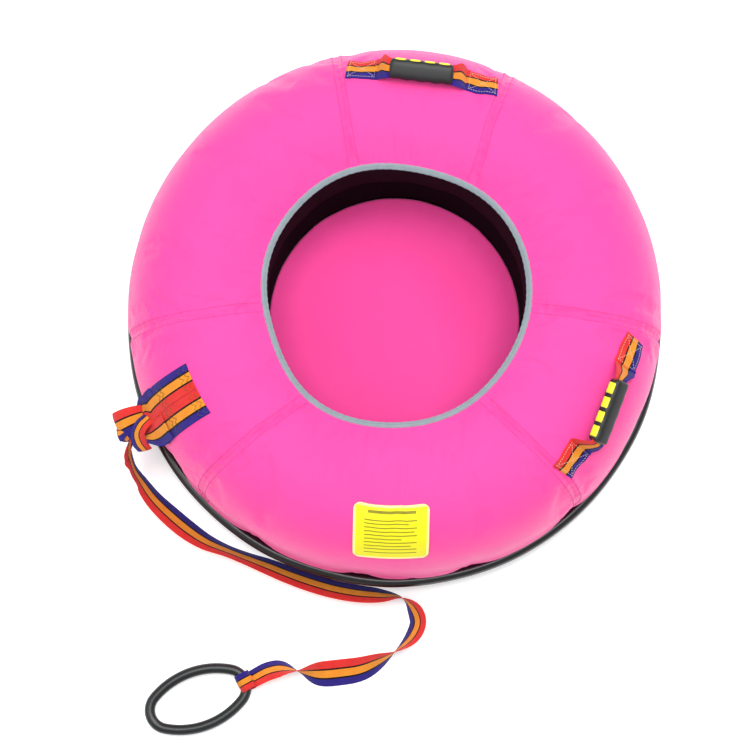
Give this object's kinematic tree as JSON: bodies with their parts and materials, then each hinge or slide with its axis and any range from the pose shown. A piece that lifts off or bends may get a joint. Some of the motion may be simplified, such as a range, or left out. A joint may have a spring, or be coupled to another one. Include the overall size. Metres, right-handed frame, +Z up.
{
  "type": "towable tube",
  "caption": "Round inflatable ride-on tube in a pink fabric jacket on a hard sliding pan, with carrying handles and a webbing tow strap with a rubber ring.",
  "frame": {"origin": "centre of the underside of the sliding pan, without the tow strap and its ring", "axes": "+Z up, square to the pan; the tow strap and its ring lie on the -Y side"},
  "size_m": [1.004, 1.2637, 0.3209],
  "materials": {
    "pan_plastic": "satin",
    "rim_rubber": "gloss",
    "rivet_steel": "satin",
    "pink_fabric": "satin",
    "grey_binding": "matte",
    "closing_band": "matte",
    "loop_pile": "matte",
    "foam": "matte",
    "butyl": "matte",
    "valve_brass": "satin",
    "valve_plastic": "matte",
    "grip_rubber": "satin",
    "pad_yellow": "satin",
    "striped_webbing": "matte",
    "ring_rubber": "satin",
    "yellow_label": "satin"
  },
  "bodies": {
    "root": {"base_pan": "pan_plastic", "rim_bead": "rim_rubber", "hem_rivets": "rivet_steel", "hem_washers": "rivet_steel", "cover_panel_1": "pink_fabric", "cover_panel_2": "pink_fabric", "cover_panel_3": "pink_fabric", "cover_panel_4": "pink_fabric", "cover_panel_5": "pink_fabric", "cover_panel_6": "pink_fabric", "inner_binding": "grey_binding", "hook_band": "closing_band", "loop_band": "loop_pile", "seat_panel": "pink_fabric", "seat_pad": "foam", "inner_tube": "butyl", "valve_stem": "valve_brass", "valve_core": "valve_brass", "handle_1_ends": "striped_webbing", "handle_2_ends": "striped_webbing", "tow_tab": "striped_webbing", "tow_tab_loop": "striped_webbing", "tow_knot": "striped_webbing", "tow_strap": "striped_webbing", "tow_strap_end": "striped_webbing", "care_label": "yellow_label"},
    "handle_1": {"handle_1_strap": "striped_webbing", "handle_1_grip": "grip_rubber", "handle_1_pads": "pad_yellow"},
    "handle_2": {"handle_2_strap": "striped_webbing", "handle_2_grip": "grip_rubber", "handle_2_pads": "pad_yellow"},
    "ring": {"tow_ring": "ring_rubber"},
    "cap": {"valve_cap": "valve_plastic"},
    "pin": {"valve_pin": "rivet_steel"}
  },
  "joints": [
    {"name": "handle_1_swing", "type": "hinge", "parent": "root", "child": "handle_1", "pos_m": [0.04889, 0.3982, 0.26513], "axis": [-0.9925, 0.1219, 0], "range_deg": [-3, 82]},
    {"name": "handle_2_swing", "type": "hinge", "parent": "root", "child": "handle_2", "pos_m": [0.35946, -0.20337, 0.25912], "axis": [-0.4924, -0.8704, 0], "range_deg": [-30, 44]},
    {"name": "tow_ring_swing", "type": "hinge", "parent": "root", "child": "ring", "pos_m": [-0.272, -0.668, 0.0123], "axis": [-0.342, 0.9397, 0], "range_deg": [0, 100]},
    {"name": "valve_cap_turn", "type": "hinge", "parent": "root", "child": "cap", "pos_m": [0.2321, 0.08448, 0.12], "axis": [-0.9397, -0.342, 0], "range_deg": [0, 1440]},
    {"name": "valve_pin_press", "type": "slide", "parent": "root", "child": "pin", "axis": [0.9397, 0.342, 0], "range_m": [0, 0.0012], "stiffness_N_per_m": 500}
  ]
}
